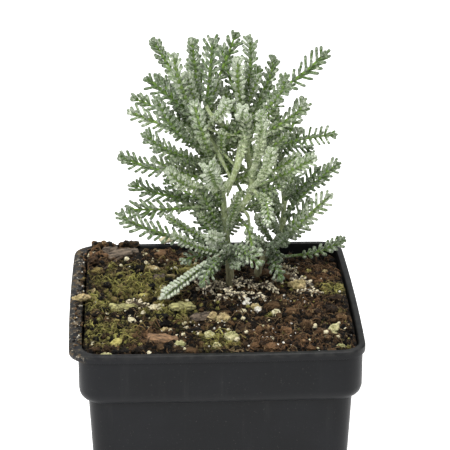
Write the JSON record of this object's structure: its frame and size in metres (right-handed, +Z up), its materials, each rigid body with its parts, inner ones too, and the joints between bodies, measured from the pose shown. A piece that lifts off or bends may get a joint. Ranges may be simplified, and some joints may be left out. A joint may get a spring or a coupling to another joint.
{
  "type": "potted cotton lavender",
  "caption": "Young cotton lavender with silver-green comb-like leaves on branching stems, in a square dark nursery pot filled with crumbly potting mix.",
  "frame": {"origin": "centre of the pot's base, on the plane that it stands on", "axes": "+Z up, +X to the right and -Y towards the front of the pot"},
  "size_m": [0.09, 0.088, 0.1675],
  "materials": {
    "pot_plastic": "satin black moulded plastic, dusty near the lip",
    "potting_mix": "matte dark brown peat and bark crumb with moss",
    "foliage": "matte silver-green felted leaves and stems",
    "bark": "matte grey-brown bark",
    "red_bark": "matte red-brown bark",
    "twig_wood": "matte dark bark",
    "tan_mineral": "matte tan mineral",
    "mossy_mineral": "matte pale mineral with a green film",
    "pale_mineral": "matte cream mineral"
  },
  "bodies": {
    "root": {"pot": "pot_plastic", "soil": "potting_mix", "leafy_stem_left": "foliage", "leafy_stem_right": "foliage", "bark_chip_back": "bark", "bark_chip_front_left": "bark", "bark_chip_front": "bark", "bark_chip_red": "red_bark", "tan_lump": "tan_mineral", "mossy_lump_left": "mossy_mineral", "mossy_lump_right": "mossy_mineral", "mossy_lump_front": "mossy_mineral", "pale_stone": "pale_mineral", "white_bit_left": "pale_mineral", "white_bit_right": "pale_mineral", "tan_lump_back": "tan_mineral", "tan_lump_right": "tan_mineral", "yellow_lump": "tan_mineral", "pale_lump_right": "mossy_mineral", "tan_lump_on_lip": "tan_mineral", "cream_lump_on_rim": "pale_mineral", "twig": "twig_wood"}
  },
  "joints": []
}
